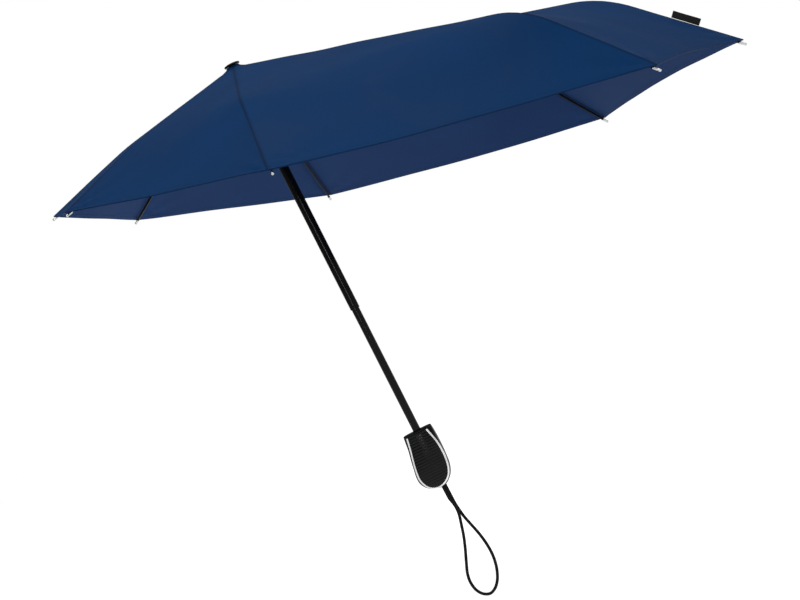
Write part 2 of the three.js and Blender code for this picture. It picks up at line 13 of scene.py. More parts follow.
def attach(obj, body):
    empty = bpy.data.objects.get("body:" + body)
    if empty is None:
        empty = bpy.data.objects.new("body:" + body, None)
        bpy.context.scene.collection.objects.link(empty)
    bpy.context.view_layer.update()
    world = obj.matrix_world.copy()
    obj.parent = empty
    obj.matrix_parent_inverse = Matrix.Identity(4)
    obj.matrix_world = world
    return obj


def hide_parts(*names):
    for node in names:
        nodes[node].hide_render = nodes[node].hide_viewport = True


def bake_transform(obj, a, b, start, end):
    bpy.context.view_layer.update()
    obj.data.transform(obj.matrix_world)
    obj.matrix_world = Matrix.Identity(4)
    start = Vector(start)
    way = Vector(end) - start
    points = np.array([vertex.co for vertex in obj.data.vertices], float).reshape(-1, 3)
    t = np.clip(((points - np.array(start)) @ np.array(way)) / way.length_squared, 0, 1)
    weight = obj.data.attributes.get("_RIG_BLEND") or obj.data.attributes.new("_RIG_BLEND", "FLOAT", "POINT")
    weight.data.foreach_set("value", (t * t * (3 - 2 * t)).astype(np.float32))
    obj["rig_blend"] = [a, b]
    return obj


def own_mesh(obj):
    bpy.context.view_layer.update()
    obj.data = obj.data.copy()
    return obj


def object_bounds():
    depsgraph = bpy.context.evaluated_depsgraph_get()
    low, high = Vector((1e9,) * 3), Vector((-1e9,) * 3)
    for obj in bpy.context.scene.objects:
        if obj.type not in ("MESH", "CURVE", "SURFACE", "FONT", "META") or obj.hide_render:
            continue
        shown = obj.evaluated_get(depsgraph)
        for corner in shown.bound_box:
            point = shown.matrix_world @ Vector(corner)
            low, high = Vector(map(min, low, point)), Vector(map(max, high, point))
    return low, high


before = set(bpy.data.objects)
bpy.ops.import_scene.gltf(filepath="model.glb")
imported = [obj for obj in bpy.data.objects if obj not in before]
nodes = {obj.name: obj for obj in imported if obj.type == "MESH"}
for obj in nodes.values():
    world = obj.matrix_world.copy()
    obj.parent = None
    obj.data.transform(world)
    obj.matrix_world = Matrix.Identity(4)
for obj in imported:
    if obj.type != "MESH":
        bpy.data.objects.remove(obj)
cad_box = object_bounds()
MM = 0.001

# ---------------------------------------------------------------- camera
CAMERA_AT = Vector((0.1685, -2.3657, 0.2121))
CAMERA_LOOKS = Vector((-0.04725, 0.99887, -0.00514))
CAMERA_ROLL = math.radians(26.88)
LENS_MM = 82.64
SENSOR_MM = 36.0

camera_data = bpy.data.cameras.new("camera")
camera_data.lens = LENS_MM
camera_data.sensor_width = SENSOR_MM
camera_data.clip_start = 0.05
camera_data.clip_end = 60
camera = bpy.data.objects.new("camera", camera_data)
bpy.context.collection.objects.link(camera)
level = CAMERA_LOOKS.to_track_quat("-Z", "Y").to_matrix().to_4x4()
camera.matrix_world = Matrix.Translation(CAMERA_AT) @ level @ Matrix.Rotation(-CAMERA_ROLL, 4, "Z")
bpy.context.scene.camera = camera


# ---------------------------------------------------------------- node helpers
def new_material(name):
    material = bpy.data.materials.new(name)
    material.use_nodes = True
    tree = material.node_tree
    shader = tree.nodes["Principled BSDF"]
    return material, tree, shader


def node(tree, kind, inputs=None, **settings):
    made = tree.nodes.new(kind)
    for key, value in settings.items():
        setattr(made, key, value)
    for key, value in (inputs or {}).items():
        if hasattr(value, "is_output"):
            tree.links.new(value, made.inputs[key])
        else:
            made.inputs[key].default_value = value
    return made


def math_node(tree, operation, a, b=0.0):
    return node(tree, "ShaderNodeMath", {0: a, 1: b}, operation=operation).outputs[0]


def noise(tree, coords, scale, detail=3.0):
    return node(tree, "ShaderNodeTexNoise", {"Vector": coords, "Scale": scale, "Detail": detail}).outputs["Fac"]


def ramp(tree, factor, stops):
    made = node(tree, "ShaderNodeValToRGB", {"Fac": factor})
    elements = made.color_ramp.elements
    while len(elements) < len(stops):
        elements.new(0.5)
    for element, (place, shade) in zip(elements, stops):
        element.position = place
        element.color = (*shade, 1) if hasattr(shade, "__len__") else (shade, shade, shade, 1)
    return made.outputs["Color"]


def span(tree, value, low, high, to_low, to_high):
    inputs = {"Value": value, "From Min": low, "From Max": high, "To Min": to_low, "To Max": to_high}
    return node(tree, "ShaderNodeMapRange", inputs).outputs["Result"]


def bump(tree, shader, height, strength, distance):
    made = node(tree, "ShaderNodeBump", {"Height": height, "Strength": strength, "Distance": distance})
    tree.links.new(made.outputs["Normal"], shader.inputs["Normal"])


def wave(tree, value, pitch):
    """A smooth 0 to 1 wave along value, once every pitch."""
    swing = math_node(tree, "SINE", math_node(tree, "MULTIPLY", value, 2 * math.pi / pitch))
    return node(tree, "ShaderNodeMath", {0: swing, 1: 0.5, 2: 0.5}, operation="MULTIPLY_ADD").outputs[0]


def band(tree, value, centre, half_width):
    """1 where value lies within half_width of centre."""
    away = math_node(tree, "ABSOLUTE", math_node(tree, "SUBTRACT", value, centre))
    return math_node(tree, "LESS_THAN", away, half_width)


def object_coords(tree):
    return node(tree, "ShaderNodeTexCoord").outputs["Object"]


def xyz(tree, vector):
    return node(tree, "ShaderNodeSeparateXYZ", {0: vector}).outputs


# ---------------------------------------------------------------- materials
THREAD_PITCH = 0.9 * MM
STITCH_PITCH = 2.6 * MM
STITCH_FROM_SEAM = 2.2 * MM
STITCH_FROM_HEM = 6.6 * MM
STITCH_HALF_W = 0.4 * MM


def cloth_material(name, deep, light, sheen_tint):
    """Close polyester weave. The 'weave' UV map holds metres across and along the panel, and the 'edges' UV map
    the distance from the rib seam and from the hem."""
    material, tree, shader = new_material(name)
    place = node(tree, "ShaderNodeUVMap", uv_map="weave").outputs["UV"]
    across, along, _ = xyz(tree, place)
    seam, hem, _ = xyz(tree, node(tree, "ShaderNodeUVMap", uv_map="edges").outputs["UV"])
    coords = object_coords(tree)
    threads = math_node(tree, "MULTIPLY", wave(tree, across, THREAD_PITCH), wave(tree, along, THREAD_PITCH))
    blotch = noise(tree, coords, 9, 4)
    slub = noise(tree, coords, 260, 2)
    tone = ramp(tree, math_node(tree, "ADD", math_node(tree, "MULTIPLY", blotch, 0.8),
                                math_node(tree, "MULTIPLY", slub, 0.25)), [(0.3, deep), (0.75, light)])
    # A row of stitching on each side of a seam and one inside the hem, with short gaps between the stitches.
    stitch = math_node(tree, "GREATER_THAN", wave(tree, along, STITCH_PITCH), 0.22)
    stitch_hem = math_node(tree, "GREATER_THAN", wave(tree, across, STITCH_PITCH), 0.22)
    sewn = math_node(tree, "MAXIMUM",
                     math_node(tree, "MULTIPLY", band(tree, seam, STITCH_FROM_SEAM, STITCH_HALF_W), stitch),
                     math_node(tree, "MULTIPLY", band(tree, hem, STITCH_FROM_HEM, STITCH_HALF_W), stitch_hem))
    # Painted shade: the cloth is darkened along the seam and inside the hem, darkest at the seam line.
    seam_hem_shade = math_node(tree, "MINIMUM", span(tree, seam, 0.4 * MM, 1.8 * MM, 0.45, 1.0),
                        span(tree, hem, 0.4 * MM, 2.0 * MM, 0.6, 1.0))
    shade = math_node(tree, "MULTIPLY", seam_hem_shade, span(tree, sewn, 0, 1, 1.0, 0.62))
    mixed = node(tree, "ShaderNodeVectorMath", {0: tone, "Scale": shade}, operation="SCALE").outputs[0]
    tree.links.new(mixed, shader.inputs["Base Color"])
    tree.links.new(span(tree, blotch, 0.3, 0.7, 0.66, 0.78), shader.inputs["Roughness"])
    shader.inputs["Specular IOR Level"].default_value = 0.03
    shader.inputs["Sheen Weight"].default_value = 0.018
    shader.inputs["Sheen Roughness"].default_value = 0.3
    shader.inputs["Sheen Tint"].default_value = (*sheen_tint, 1)
    height = math_node(tree, "ADD", math_node(tree, "MULTIPLY", threads, 0.6),
                       math_node(tree, "MULTIPLY", sewn, -0.8))
    height = math_node(tree, "ADD", height, math_node(tree, "MULTIPLY", slub, 0.35))
    bump(tree, shader, height, 0.35, 0.15 * MM)
    return material


def painted_steel(name, shade, roughness, gloss):
    """Black enamel on steel, with faint marks along the part and a few rubbed places."""
    material, tree, shader = new_material(name)
    coords = object_coords(tree)
    stretched = node(tree, "ShaderNodeMapping", {"Vector": coords, "Scale": (1, 1, 0.04)}).outputs[0]
    drawn = noise(tree, stretched, 900, 2)
    rubbed = noise(tree, coords, 45, 5)
    worn = span(tree, rubbed, 0.6, 0.78, 0, 1)
    tone = ramp(tree, worn, [(0.0, shade), (1.0, tuple(2.2 * c for c in shade))])
    tree.links.new(tone, shader.inputs["Base Color"])
    tree.links.new(span(tree, rubbed, 0.25, 0.75, roughness - 0.06, roughness + 0.1), shader.inputs["Roughness"])
    shader.inputs["Specular IOR Level"].default_value = gloss
    bump(tree, shader, drawn, 0.03, 0.03 * MM)
    return material


def moulded(name, shade, roughness, grain=420.0, depth=0.06, gloss=0.1):
    """Moulded plastic: slight flow mottling, a fine grain and softened gloss."""
    material, tree, shader = new_material(name)
    coords = object_coords(tree)
    mottle = noise(tree, coords, 60, 4)
    fine = noise(tree, coords, grain, 3)
    tone = ramp(tree, mottle, [(0.3, shade), (0.8, tuple(1.5 * c for c in shade))])
    tree.links.new(tone, shader.inputs["Base Color"])
    tree.links.new(span(tree, mottle, 0.3, 0.7, roughness - 0.05, roughness + 0.08), shader.inputs["Roughness"])
    shader.inputs["Specular IOR Level"].default_value = gloss
    bump(tree, shader, fine, 0.3, depth * MM)
    return material


def bright_metal(name):
    """Plated metal with light brushing and dull spots."""
    material, tree, shader = new_material(name)
    coords = object_coords(tree)
    dull = noise(tree, coords, 300, 4)
    stretched = node(tree, "ShaderNodeMapping", {"Vector": coords, "Scale": (1, 1, 8)}).outputs[0]
    brushed = noise(tree, stretched, 500, 2)
    tone = ramp(tree, dull, [(0.3, (0.34, 0.35, 0.36)), (0.7, (0.55, 0.55, 0.55))])
    tree.links.new(tone, shader.inputs["Base Color"])
    tree.links.new(span(tree, dull, 0.3, 0.7, 0.16, 0.34), shader.inputs["Roughness"])
    shader.inputs["Metallic"].default_value = 1.0
    bump(tree, shader, brushed, 0.2, 0.04 * MM)
    return material


def rubber_material():
    """Matt rubber with dusty patches."""
    material, tree, shader = new_material("grip_rubber")
    coords = object_coords(tree)
    fine = noise(tree, coords, 1500, 3)
    dust = noise(tree, coords, 70, 5)
    tone = ramp(tree, dust, [(0.3, (0.0045, 0.0045, 0.005)), (0.8, (0.011, 0.011, 0.0115))])
    tree.links.new(tone, shader.inputs["Base Color"])
    tree.links.new(span(tree, dust, 0.3, 0.7, 0.62, 0.8), shader.inputs["Roughness"])
    shader.inputs["Specular IOR Level"].default_value = 0.15
    bump(tree, shader, fine, 0.35, 0.06 * MM)
    return material


def braid_material():
    """Braided cord: crossing bands round and along it, from the cord's own UV map, with painted shade in the grooves
    between the strands.
    """
    material, tree, shader = new_material("strap_braid")
    round_, along, _ = xyz(tree, node(tree, "ShaderNodeUVMap", uv_map="braid").outputs["UV"])
    left = wave(tree, math_node(tree, "ADD", round_, along), 1.8 * MM)
    right = wave(tree, math_node(tree, "SUBTRACT", round_, along), 1.8 * MM)
    plait = math_node(tree, "MAXIMUM", left, right)
    fuzz = noise(tree, object_coords(tree), 1200, 3)
    # Painted shade: the colour is darkest where the plait is low, in the grooves between the strands.
    tone = ramp(tree, math_node(tree, "MULTIPLY", plait, math_node(tree, "ADD", fuzz, 0.3)),
                [(0.1, (0.002, 0.002, 0.002)), (0.9, (0.011, 0.011, 0.0115))])
    tree.links.new(tone, shader.inputs["Base Color"])
    tree.links.new(span(tree, fuzz, 0.3, 0.7, 0.6, 0.85), shader.inputs["Roughness"])
    shader.inputs["Specular IOR Level"].default_value = 0.08
    bump(tree, shader, plait, 0.6, 0.25 * MM)
    return material


def tag_material():
    """Plain black satin tape with a woven edge."""
    material, tree, shader = new_material("label_tape")
    across, along, _ = xyz(tree, node(tree, "ShaderNodeUVMap", uv_map="weave").outputs["UV"])
    ribs = math_node(tree, "MULTIPLY", wave(tree, across, 0.6 * MM), wave(tree, along, 0.9 * MM))
    fuzz = noise(tree, object_coords(tree), 900, 3)
    tone = ramp(tree, fuzz, [(0.3, (0.002, 0.002, 0.0025)), (0.8, (0.007, 0.007, 0.0075))])
    tree.links.new(tone, shader.inputs["Base Color"])
    tree.links.new(span(tree, fuzz, 0.3, 0.7, 0.5, 0.7), shader.inputs["Roughness"])
    shader.inputs["Specular IOR Level"].default_value = 0.15
    bump(tree, shader, ribs, 0.5, 0.12 * MM)
    return material


CLOTH_TOP = cloth_material("cloth_outside", (0.0009, 0.0185, 0.068), (0.0015, 0.0242, 0.085), (0.7, 0.8, 1.0))
# The inside layer is given a lighter colour than the outside: painted light, standing for daylight shining through the
# cloth.
CLOTH_UNDER_PAINTED_LIGHT = cloth_material("cloth_inside_painted_light", (0.0085, 0.024, 0.075), (0.011, 0.031, 0.092), (0.7, 0.75, 1.0))
STEEL = painted_steel("black_enamel", (0.0018, 0.0018, 0.002), 0.12, 0.13)
ARM_STEEL = painted_steel("black_arm", (0.0022, 0.0022, 0.0026), 0.4, 0.05)
PLASTIC = moulded("black_moulding", (0.0025, 0.0025, 0.0027), 0.38)
GLOSS = moulded("handle_gloss", (0.0022, 0.0022, 0.0024), 0.2, 700.0, 0.015)
TRIM = moulded("white_trim", (0.62, 0.62, 0.61), 0.32, 500.0, 0.03, 0.4)
BRIGHT = bright_metal("plated_metal")
RUBBER = rubber_material()
BRAID = braid_material()
TAPE = tag_material()


# ---------------------------------------------------------------- mesh helpers
def add_object(name, mesh, *materials):
    made = bpy.data.objects.new(name, mesh)
    bpy.context.collection.objects.link(made)
    for material in materials:
        made.data.materials.append(material)
    return made


def mesh_from(name, points, faces, smooth=True):
    mesh = bpy.data.meshes.new(name)
    mesh.from_pydata([tuple(map(float, p)) for p in points], [], faces)
    mesh.polygons.foreach_set("use_smooth", [smooth] * len(mesh.polygons))
    mesh.update()
    return mesh


def grid_faces(rows, cols, start=0, closed=False, flip=False):
    faces = []
    for i in range(rows - 1):
        for j in range(cols if closed else cols - 1):
            k = (j + 1) % cols
            here, above = start + i * cols, start + (i + 1) * cols
            face = (here + j, here + k, above + k, above + j)
            faces.append(face[::-1] if flip else face)
    return faces


def grid_rim(rows, cols):
    """The outer points of a grid, once round, in order."""
    return ([k for k in range(cols)] + [i * cols + cols - 1 for i in range(1, rows)]
            + [(rows - 1) * cols + k for k in range(cols - 2, -1, -1)] + [i * cols for i in range(rows - 2, 0, -1)])


def unit(v):
    return v / np.linalg.norm(v, axis=-1, keepdims=True)


# ---------------------------------------------------------------- wrist strap
STRAP_D = 4.0 * MM
STRAP_ROUTE = [
    (-2.8, 0, -34), (-2.8, 0, -42), (-2.7, -0.2, -50), (-2.3, -1.2, -58), (-0.4, -2.2, -66), (0.2, -2.2, -74),
    (-0.6, -2.2, -82), (-3.4, -1.8, -93), (-7.8, -1.0, -109), (-13.6, -0.4, -125), (-20.2, 0, -141),
    (-25.8, 0, -156), (-27.2, 0, -168), (-24.6, 0, -180), (-18.4, 0, -188), (-10.6, 0, -191),
    (-2.6, 0, -188), (4.6, 0, -180.4), (9.8, 0, -170), (13.2, 0, -158), (14.6, 0, -145), (13.8, 0.2, -130),
    (11.0, 0.4, -114), (7.0, 1.0, -99), (3.8, 1.8, -87), (2.4, 2.2, -78), (1.4, 2.2, -70), (1.0, 1.6, -62),
    (1.0, 0.6, -53), (0.9, 0, -44), (0.9, 0, -34),
]


def smooth_route(points, steps=8):
    """A centripetal Catmull-Rom curve through the points."""
    p = np.array(points, float) * MM
    p = np.vstack([2 * p[0] - p[1], p, 2 * p[-1] - p[-2]])
    out = []
    for a, b, c, d in zip(p, p[1:], p[2:], p[3:]):
        t0 = 0.0
        t1 = t0 + math.sqrt(np.linalg.norm(b - a))
        t2 = t1 + math.sqrt(np.linalg.norm(c - b))
        t3 = t2 + math.sqrt(np.linalg.norm(d - c))
        for t in np.linspace(t1, t2, steps, endpoint=False):
            ab = ((t1 - t) * a + (t - t0) * b) / (t1 - t0)
            bc = ((t2 - t) * b + (t - t1) * c) / (t2 - t1)
            cd = ((t3 - t) * c + (t - t2) * d) / (t3 - t2)
            abc = ((t2 - t) * ab + (t - t0) * bc) / (t2 - t0)
            bcd = ((t3 - t) * bc + (t - t1) * cd) / (t3 - t1)
            out.append(((t2 - t) * abc + (t - t1) * bcd) / (t2 - t1))
    out.append(p[-2])
    return np.array(out)


def braided_tube(name, path, diameter, round_to=14):
    """A tube along path with a UV map of metres round and along it."""
    along = unit(np.gradient(path, axis=0))
    side = unit(np.cross(along, np.array([0.0, 1.0, 0.0])))
    over = np.cross(side, along)
    turn = np.linspace(0, 2 * math.pi, round_to, endpoint=False)
    rings = (path[:, None] + (diameter / 2) * (np.cos(turn)[None, :, None] * side[:, None]
                                              + np.sin(turn)[None, :, None] * over[:, None]))
    rows = len(path)
    faces = grid_faces(rows, round_to, closed=True)
    faces += [tuple(range(round_to))[::-1], tuple((rows - 1) * round_to + k for k in range(round_to))]
    mesh = mesh_from(name, rings.reshape(-1, 3), faces)
    length = np.concatenate([[0], np.cumsum(np.linalg.norm(np.diff(path, axis=0), axis=1))])
    uv = mesh.uv_layers.new(name="braid")
    for polygon in mesh.polygons:
        columns = [mesh.loops[k].vertex_index % round_to for k in polygon.loop_indices]
        wrap = max(columns) - min(columns) > 1 and len(columns) == 4
        for k, column in zip(polygon.loop_indices, columns):
            column += round_to if wrap and column == 0 else 0
            row = mesh.loops[k].vertex_index // round_to
            uv.data[k].uv = (column / round_to * math.pi * diameter, length[row])
    return mesh, float(length[-1])


strap_path = smooth_route(STRAP_ROUTE)
strap_mesh, strap_length = braided_tube("wrist_loop", strap_path, STRAP_D)
strap = add_object("wrist_loop", strap_mesh, BRAID)
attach(strap, "root")
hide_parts("wrist_strap")


# ---------------------------------------------------------------- canopy
CROWN = 570.0
NECK_R = 8.2
HINGE_R = 12.5
HINGE_Z = CROWN - 15.2
ARM_BELOW_CLOTH = 8.0
# One row for each rib: name, azimuth in degrees, slope, first fold, bend, corner radius, corner drop in mm,
# number of arms.
RIBS = [
    ("rear", 0, 0.296, 286, 462, 598, 272, 3), ("rear_far", 41.7, 0.296, 284, 456, 582, 268, 3),
    ("side_far", 88.1, 0.296, 140, 245, 427, 182, 2), ("front_far", 136.1, 0.25, 110, 200, 329, 100, 2),
    ("front", 180, 0.17, 90, 170, 296, 70, 2), ("front_near", 223.9, 0.25, 110, 200, 329, 100, 2),
    ("side_near", 271.9, 0.296, 140, 245, 427, 182, 2), ("rear_near", 318.3, 0.296, 284, 456, 582, 268, 3),
]
HEM_CURVE = [0.1, 0.035, 0.055, 0.03, 0.03, 0.055, 0.035, 0.1]
CLOTH_SAG = 0.012
CLOTH_T = 0.6
HEM_W = 7.0
SEAM_W = 1.4
BEND_ROUND = {3: 42.0, 2: 16.0}
MID_ROUND = 34.0


def rib_knots(rib):
    """Neck, shoulder, bend and corner of the cloth line over a rib, as 3-D points in mm."""
    _, azimuth, slope, _, bend, corner_r, corner_drop, _ = rib
    a = math.radians(azimuth)
    rows = [(NECK_R, CROWN - 4.2), (HINGE_R, CROWN - 5.3 - slope * HINGE_R), (bend, CROWN - 5 - slope * bend),
            (corner_r, CROWN - corner_drop)]
    return np.array([(r * math.cos(a), r * math.sin(a), z) for r, z in rows])


KNOTS = [rib_knots(rib) for rib in RIBS]


def rounded(k, t, at, before, after):
    """Replaces the corner at knot number at of a polyline by a curve that starts and ends the given lengths away."""
    low, mid, high = k[at - 1], k[at], k[at + 1]
    length_low = np.linalg.norm(mid - low, axis=-1)
    length_high = np.linalg.norm(high - mid, axis=-1)
    start = at - before / length_low
    end = at + after / length_high
    s = np.clip((t - start) / (end - start), 0, 1)[..., None]
    a = mid + (low - mid) * (before / length_low)[..., None]
    b = mid + (high - mid) * (after / length_high)[..., None]
    curve = (1 - s) ** 2 * a + 2 * s * (1 - s) * mid + s ** 2 * b
    return curve, (t > start) & (t < end)


def bow(v):
    """0 at both ribs and 1 midway between them."""
    return 4 * v * (1 - v)


def cloth_point(i, v, t):
    """Points on the cloth, mm: a share v from rib i to the next one, at t between knots 0 and 3."""
    v, t = np.broadcast_arrays(np.asarray(v, float), np.asarray(t, float))
    j = (i + 1) % len(RIBS)
    k = [(1 - v)[..., None] * KNOTS[i][n] + v[..., None] * KNOTS[j][n] for n in range(4)]
    cell = np.clip(np.floor(t), 0, 2)
    f = (t - cell)[..., None]
    low = np.select([(cell == n)[..., None] for n in range(3)], k[:3])
    high = np.select([(cell == n)[..., None] for n in range(3)], k[1:])
    point = low + (high - low) * f
    w = BEND_ROUND[RIBS[i][7]] * (1 - v) + BEND_ROUND[RIBS[j][7]] * v + MID_ROUND * bow(v)
    for at, before, after in ((1, np.full_like(v, 2.5), np.full_like(v, 6.0)), (2, w, w)):
        curve, inside = rounded(k, t, at, before, after)
        point = np.where(inside[..., None], curve, point)
    width = np.linalg.norm((KNOTS[j][3] - KNOTS[i][3])) * np.clip(t - 1, 0, 2) / 2
    ramp_in = np.clip(t - 1, 0, 1)
    point[..., 2] -= CLOTH_SAG * bow(v) * width * ramp_in * 1.4
    return point


def wrinkles(i, v, t, point):
    """How far the cloth stands off its smooth surface, mm."""
    x, y = point[..., 0], point[..., 1]
    radius = np.hypot(x, y)
    turn = np.arctan2(y, x)
    soft = (np.sin(x / 61 + 0.8 * np.sin(y / 47)) * np.sin(y / 53 - 0.6 * np.sin(x / 71))
            + 0.5 * np.sin(x / 29 - y / 37 + 1.3) * np.sin(y / 31 + x / 83))
    drift = 0.75 * soft * np.clip(radius / 150, 0, 1)
    pleats = 0.45 * np.sin(36 * turn + 2 * np.sin(5 * turn)) * np.exp(-radius / 34) * np.clip((radius - 12) / 10, 0, 1)
    pull = np.zeros_like(x)
    for k, share in ((i, v), ((i + 1) % len(RIBS), 1 - v)):
        corner, inner = KNOTS[k][3], KNOTS[k][2]
        away = point - corner
        r = np.linalg.norm(away, axis=-1)
        back = unit(inner - corner)
        angle = np.arccos(np.clip((away @ back) / np.maximum(r, 1e-6), -1, 1))
        fan = np.sin(11 * angle + 0.7 * k) * np.exp(-r / 62) * np.clip(r / 24, 0, 1) * np.clip(angle / 0.3, 0, 1)
        knee = point - inner
        rk = np.linalg.norm(knee, axis=-1)
        fold = np.sin(rk / 9) * np.exp(-rk / 22) * np.clip(share * 14, 0, 1)
        pull = pull + 0.8 * fan + 0.12 * fold
    return drift + pleats + pull


NUDGE = 2e-3


def surface(i, v, t):
    """Wrinkled point and unit normal. The normal points away from the shaft side."""
    def smooth(v, t):
        return cloth_point(i, v, t)

    def displaced(v, t):
        p = smooth(v, t)
        across = smooth(v + NUDGE, t) - smooth(v - NUDGE, t)
        along = smooth(v, t + NUDGE) - smooth(v, t - NUDGE)
        n = unit(np.cross(along, across))
        return p + n * wrinkles(i, v, t, p)[..., None]

    across = displaced(v + NUDGE, t) - displaced(v - NUDGE, t)
    along = displaced(v, t + NUDGE) - displaced(v, t - NUDGE)
    return displaced(v, t), unit(np.cross(along, across))


ROWS = 88
COLUMNS = 17


def column_lengths(i, v):
    """Lengths of the three stretches of cloth from crown to hem at share v, and how far t runs in the last."""
    k = [(1 - v)[..., None] * KNOTS[i][n] + v[..., None] * KNOTS[(i + 1) % len(RIBS)][n] for n in range(4)]
    last = 1 - HEM_CURVE[i] * bow(v)
    return [np.linalg.norm(k[1] - k[0], axis=-1), np.linalg.norm(k[2] - k[1], axis=-1),
            np.linalg.norm(k[3] - k[2], axis=-1) * last], last


def half_panel(i, forward):
    """The grid over half a sector, from the rib outwards: v, t, distances from the seam, hem and neck in mm."""
    base = np.concatenate([[0, 0.5 / 40, 0.5 / 20], np.linspace(0.5 / 20, 0.5, COLUMNS - 2)[1:]])
    v = np.tile(base, (ROWS, 1))
    if not forward:
        v = 1 - v
    for _ in range(2):
        (a, b, c), last = column_lengths(i, v)
        total = a + b + c
        s = np.empty_like(v)
        s[0], s[1] = 0, 0.5 * a[1]
        s[2:-4] = a[2:-4] + (total[2:-4] - HEM_W - 1 - a[2:-4]) * np.linspace(0, 1, ROWS - 6)[:, None]
        for row, back in ((-4, HEM_W), (-3, HEM_W - 1.2), (-2, 0.8), (-1, 0)):
            s[row] = total[row] - back
        t = np.where(s < a, s / a, np.where(s < a + b, 1 + (s - a) / b, 2 + (s - a - b) / c * last))
        chord = np.linalg.norm(cloth_point(i, np.zeros_like(t), t) - cloth_point(i, np.ones_like(t), t), axis=-1)
        first = np.minimum(SEAM_W / chord, 0.5 / 17)
        second = np.minimum(2 * SEAM_W / chord, 1.0 / 17)
        share = np.empty_like(v)
        share[:, 0], share[:, 1], share[:, 2] = 0, first[:, 1], second[:, 2]
        evenly = np.linspace(0, 1, COLUMNS - 1)[None, 1:][:, : v.shape[1] - 3]
        share[:, 3:] = second[:, 3:] + (0.5 - second[:, 3:]) * evenly
        share[:, -1] = 0.5
        v = share if forward else 1 - share
    hem = total - s
    return v, t, share * chord, hem, s


def gore_grid(r):
    """The gore of rib r as one grid from mid sector to mid sector: its middle column, then half_panel's grids."""
    before = (r - 1) % len(RIBS)
    left = half_panel(before, False)
    right = half_panel(r, True)
    return left[0].shape[1] - 1, *(np.hstack([a[:, :0:-1], b]) for a, b in zip(left, right))


GORE_LAYERS = ("w", "t", "seam", "hem", "along")


def gore_mesh(r, half):
    """A single-layer bmesh of the gore, or of one half of it. Its layers keep each vertex's place in the gore."""
    middle, v, t, seam, hem, along = gore_grid(r)
    first, last = (middle if half > 0 else 0), (middle + 1 if half < 0 else v.shape[1])
    v, t, seam, hem, along = (grid[:, first:last] for grid in (v, t, seam, hem, along))
    middle -= first
    rows, cols = v.shape
    signed = np.arange(cols) - middle
    w = np.where(signed[None] < 0, v - 1, v)
    points = np.empty((rows, cols, 3))
    points[:, :middle] = surface((r - 1) % len(RIBS), v[:, :middle], t[:, :middle])[0]
    points[:, middle:] = surface(r, v[:, middle:], t[:, middle:])[0]
    made = bmesh.new()
    layers = [made.verts.layers.float.new(name) for name in GORE_LAYERS]
    verts = []
    for row in range(rows):
        for col in range(cols):
            vert = made.verts.new(points[row, col] * MM)
            for layer, values in zip(layers, (w, t, seam, hem, along)):
                vert[layer] = values[row, col]
            verts.append(vert)
    for row in range(rows - 1):
        for col in range(cols - 1):
            a = row * cols + col
            made.faces.new([verts[a], verts[a + 1], verts[a + cols + 1], verts[a + cols]])
    return made


def gore_piece(r, name, planes, half=0):
    """One closed two-layer piece of the gore of rib r, between cutting planes (point, direction that is kept)."""
    made = gore_mesh(r, half)
    for place, keep in planes:
        bmesh.ops.bisect_plane(made, geom=made.verts[:] + made.edges[:] + made.faces[:], dist=2e-5,
                               plane_co=place, plane_no=keep, clear_inner=True)
    made.verts.index_update()
    layers = [made.verts.layers.float[name] for name in GORE_LAYERS]
    w, t, seam, hem, along = (np.array([vert[layer] for vert in made.verts]) for layer in layers)
    faces = [tuple(vert.index for vert in face.verts) for face in made.faces]
    border = []
    for edge in made.edges:
        if len(edge.link_faces) == 1:
            loop = edge.link_loops[0]
            border.append((loop.vert.index, loop.link_loop_next.vert.index))
    made.free()

    count = len(w)
    mid = np.empty((count, 3))
    normal = np.zeros((count, 3))
    for sector, side in (((r - 1) % len(RIBS), w < 1e-9), (r, w > -1e-9)):
        p, n = surface(sector, np.where(w[side] < 0, w[side] + 1, w[side]) if sector != r else w[side], t[side])
        if sector != r:
            zero = np.abs(w[side]) < 1e-9
            p1, n1 = surface(sector, np.ones(zero.sum()), t[side][zero])
            p[zero], n[zero] = p1, n1
        mid[side] = p
        normal[side] += n
    normal = unit(normal)
    # The seam and the hem are doubled cloth, so they stand a little prouder than the panel.
    ridge = 0.28 * np.clip(1 - (seam - SEAM_W) / SEAM_W, 0, 1) * np.clip(along / 12, 0, 1)
    fold = 0.3 * np.clip((HEM_W - hem) / 1.2, 0, 1)
    up = CLOTH_T / 2 + np.maximum(ridge, fold)
    down = CLOTH_T / 2 + np.maximum(1.3 * ridge, fold)
    points = np.vstack([mid + normal * up[:, None], mid - normal * down[:, None]]) * MM
    walls = [(b, a, a + count, b + count) for a, b in border]
    polygons = faces + [tuple(k + count for k in face[::-1]) for face in faces] + walls
    mesh = mesh_from(name, points, polygons)
    # bmesh wound the grid with its rows outwards: make sure the first layer faces up.
    first = mesh.polygons[0]
    if first.normal.dot(Vector(normal[faces[0][0]])) < 0:
        mesh.flip_normals()
    weave, edges = mesh.uv_layers.new(name="weave"), mesh.uv_layers.new(name="edges")
    vertex = np.empty(len(mesh.loops), int)
    mesh.loops.foreach_get("vertex_index", vertex)
    base = vertex % count
    across = np.sign(w) * seam
    weave.data.foreach_set("uv", (np.stack([across[base], along[base]], 1) * MM).ravel())
    edges.data.foreach_set("uv", (np.stack([seam[base], hem[base]], 1) * MM).ravel())
    both = np.vstack([normal, -normal])
    loop_normals = both[vertex]
    material_index = np.zeros(len(mesh.polygons), int)
    for polygon in mesh.polygons:
        if polygon.index >= 2 * len(faces):
            for k in polygon.loop_indices:
                loop_normals[k] = polygon.normal
        elif polygon.index >= len(faces):
            material_index[polygon.index] = 1
    mesh.polygons.foreach_set("material_index", material_index)
    mesh.normals_split_custom_set([tuple(n) for n in loop_normals])
    mesh.update()
    return mesh, seam, along


